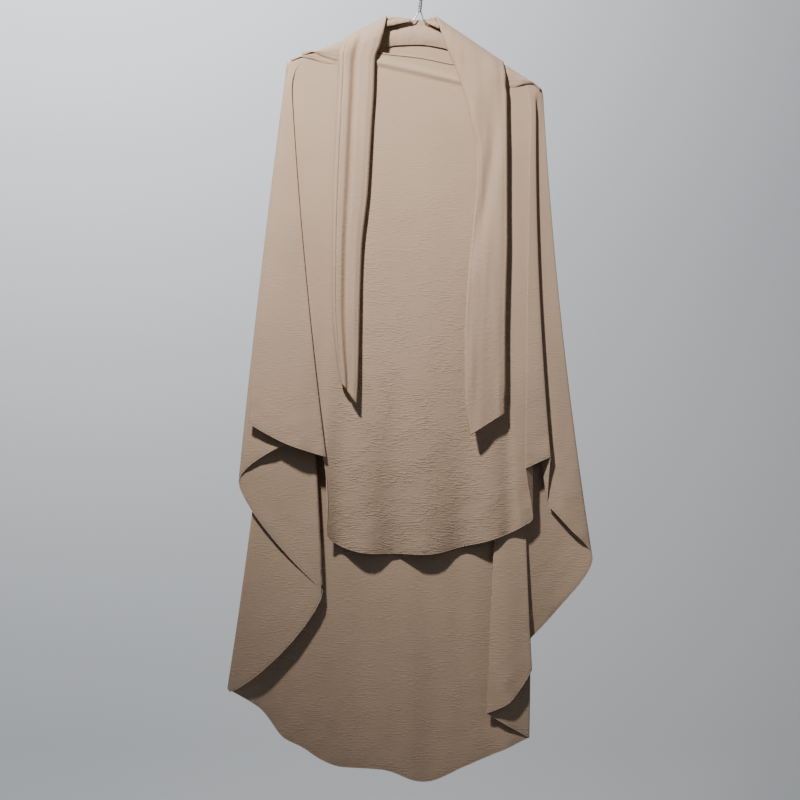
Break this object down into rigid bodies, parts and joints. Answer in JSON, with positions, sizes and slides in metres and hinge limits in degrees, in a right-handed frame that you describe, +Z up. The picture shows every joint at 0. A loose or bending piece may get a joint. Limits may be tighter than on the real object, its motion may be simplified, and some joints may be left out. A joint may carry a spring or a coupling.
{
  "type": "khimar veil on a wire hanger",
  "caption": "Long draped veil with a face opening, a forehead band with long front ties, a short front and a longer back in stepped folds, hung on a bent wire hanger.",
  "frame": {"origin": "The top inside the hook, where the rod or nail that holds it touches the wire.", "axes": "+Z is up, -Y is the veil's front with the ties, +X is to the right when it is seen from the front."},
  "size_m": [0.5869, 0.0473, 1.3349],
  "materials": {
    "wire": "plain drawn wire",
    "crepe": "matte crinkled crepe in warm beige"
  },
  "bodies": {
    "root": {"hanger": "wire", "cape": "crepe", "forehead_band": "crepe", "left_tie": "crepe", "right_tie": "crepe"}
  },
  "joints": []
}
